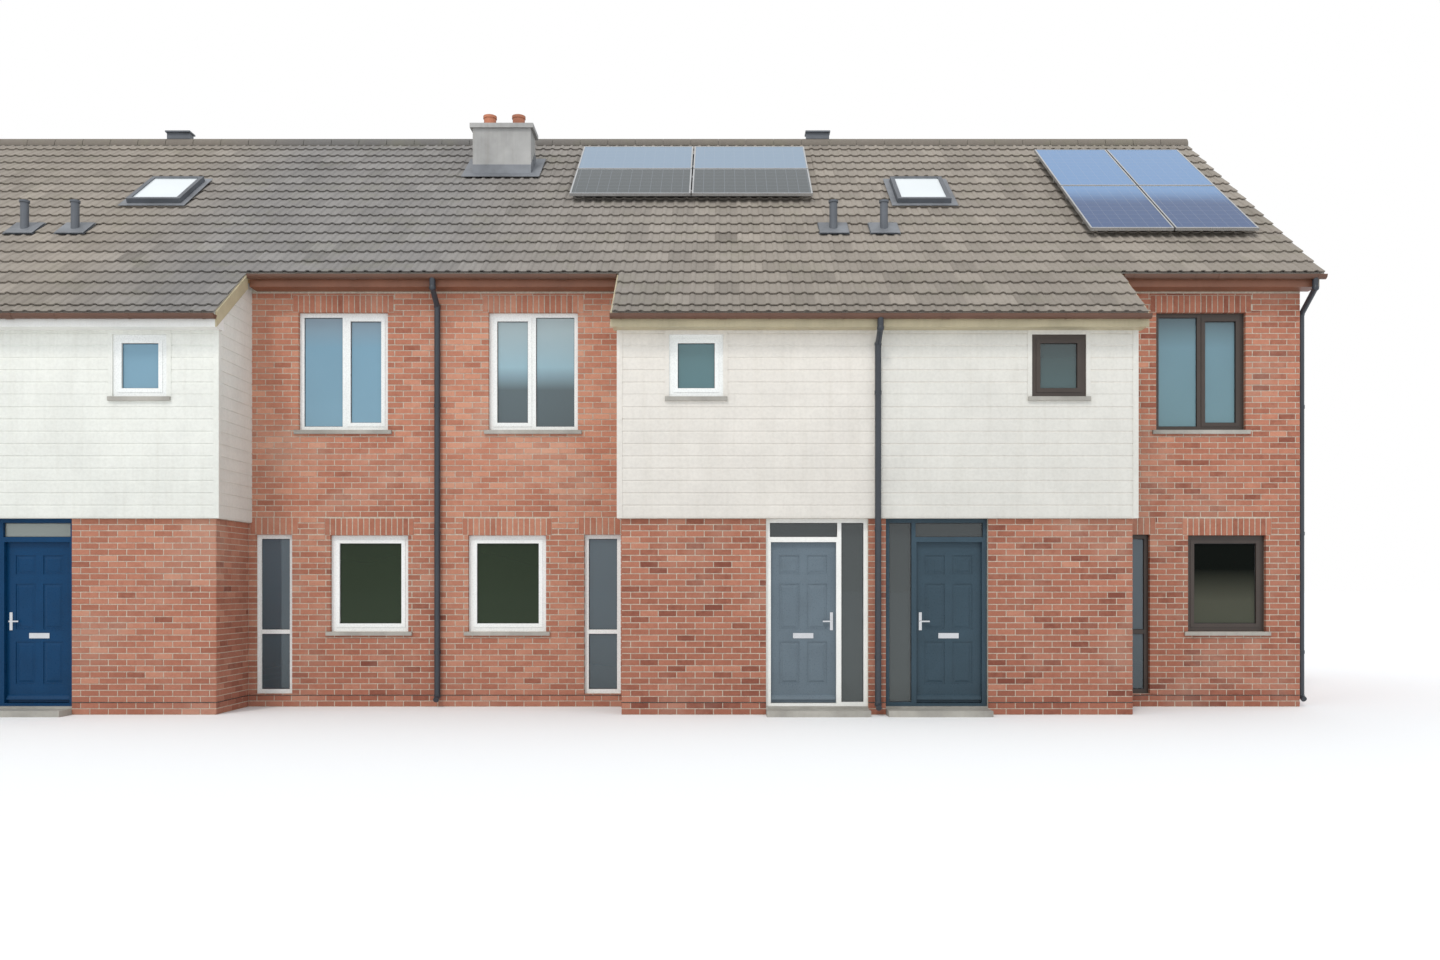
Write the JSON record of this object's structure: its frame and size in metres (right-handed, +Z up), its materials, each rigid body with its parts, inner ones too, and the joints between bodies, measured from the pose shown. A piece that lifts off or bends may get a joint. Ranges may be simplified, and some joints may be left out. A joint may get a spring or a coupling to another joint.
{
  "type": "terraced house row",
  "caption": "Row of two-storey terraced houses in mirrored pairs, recessed brick bays between projecting white-boarded parts under a stepped tiled roof.",
  "frame": {"origin": "centre of the box that bounds the row, at ground level", "axes": "+X along the row to the right as seen from the street, -Y towards the street, +Z up"},
  "size_m": [22.86, 9.994, 9.1231],
  "materials": {
    "concrete": "trowelled concrete",
    "timber_bare": "sawn timber",
    "brick_red": "matte red facing brick",
    "boarding_white": "painted shiplap boards",
    "roof_tile": "matte concrete tiles",
    "board_olive": "olive brown paint",
    "board_white": "smooth white boards",
    "pipe_grey": "grey rainwater goods",
    "render_pale": "pale rendered brick",
    "clay_pot": "fired clay",
    "flashing_grey": "grey flashings",
    "glass_clear": "clear sealed units",
    "solar_glass": "dark blue solar glass",
    "rail_metal": "mill finish rails",
    "frame_white": "white window frames",
    "frame_dark": "dark brown window frames",
    "door_navy": "navy gloss paint",
    "door_slate": "dark slate paint",
    "door_pale_blue": "pale blue grey paint",
    "fitting_chrome": "polished"
  },
  "bodies": {
    "row": {"ground_floor_slabs": "concrete", "first_floors": "timber_bare", "loft_floors": "timber_bare", "party_walls": "brick_red", "left_gable_wall": "brick_red", "right_gable_wall": "brick_red", "bay_walls": "brick_red", "ground_floor_piers": "brick_red", "projection_side_walls": "brick_red", "boarded_front_walls": "timber_bare", "rear_wall": "brick_red", "left_boarding": "boarding_white", "right_boarding": "boarding_white", "front_roof_deck": "timber_bare", "rear_roof_deck": "timber_bare", "front_roof_tiles": "roof_tile", "rear_roof_tiles": "roof_tile", "ridge_tiles": "roof_tile", "verge_boards": "board_olive", "left_eave_boards": "board_white", "right_eave_boards": "board_olive", "rear_eave_boards": "board_white", "gutters": "pipe_grey", "downpipes": "pipe_grey", "chimney_stack": "render_pale", "chimney_pots": "clay_pot", "roof_window_frames": "flashing_grey", "roof_window_glass": "glass_clear", "house_3_solar_panels": "solar_glass", "house_4_solar_panels": "solar_glass", "solar_rails": "rail_metal", "vent_pipes": "flashing_grey", "ridge_terminals": "flashing_grey", "white_window_frames": "frame_white", "dark_window_frames": "frame_dark", "front_window_glass": "glass_clear", "rear_window_frames": "frame_white", "rear_window_glass": "glass_clear", "window_sills": "concrete", "rear_doors": "frame_white", "doorsteps": "concrete", "house_1_door_frame": "frame_white", "house_2_door_frame": "door_navy", "house_3_door_frame": "frame_white", "house_4_door_frame": "door_slate", "door_set_glass": "glass_clear", "house_1_front_door": "frame_white"},
    "house_2_door": {"house_2_front_door": "door_navy", "house_2_door_fittings": "fitting_chrome"},
    "house_3_door": {"house_3_front_door": "door_pale_blue", "house_3_door_fittings": "fitting_chrome"},
    "house_4_door": {"house_4_front_door": "door_slate", "house_4_door_fittings": "fitting_chrome"}
  },
  "joints": [
    {"name": "house_2_door_hinge", "type": "hinge", "parent": "row", "child": "house_2_door", "pos_m": [-4.295, -4.467, 1.13], "axis": [0, 0, -1], "range_deg": [0, 90]},
    {"name": "house_3_door_hinge", "type": "hinge", "parent": "row", "child": "house_3_door", "pos_m": [4.295, -4.467, 1.13], "axis": [0, 0, 1], "range_deg": [0, 90]},
    {"name": "house_4_door_hinge", "type": "hinge", "parent": "row", "child": "house_4_door", "pos_m": [6.905, -4.467, 1.13], "axis": [0, 0, -1], "range_deg": [0, 90]}
  ]
}
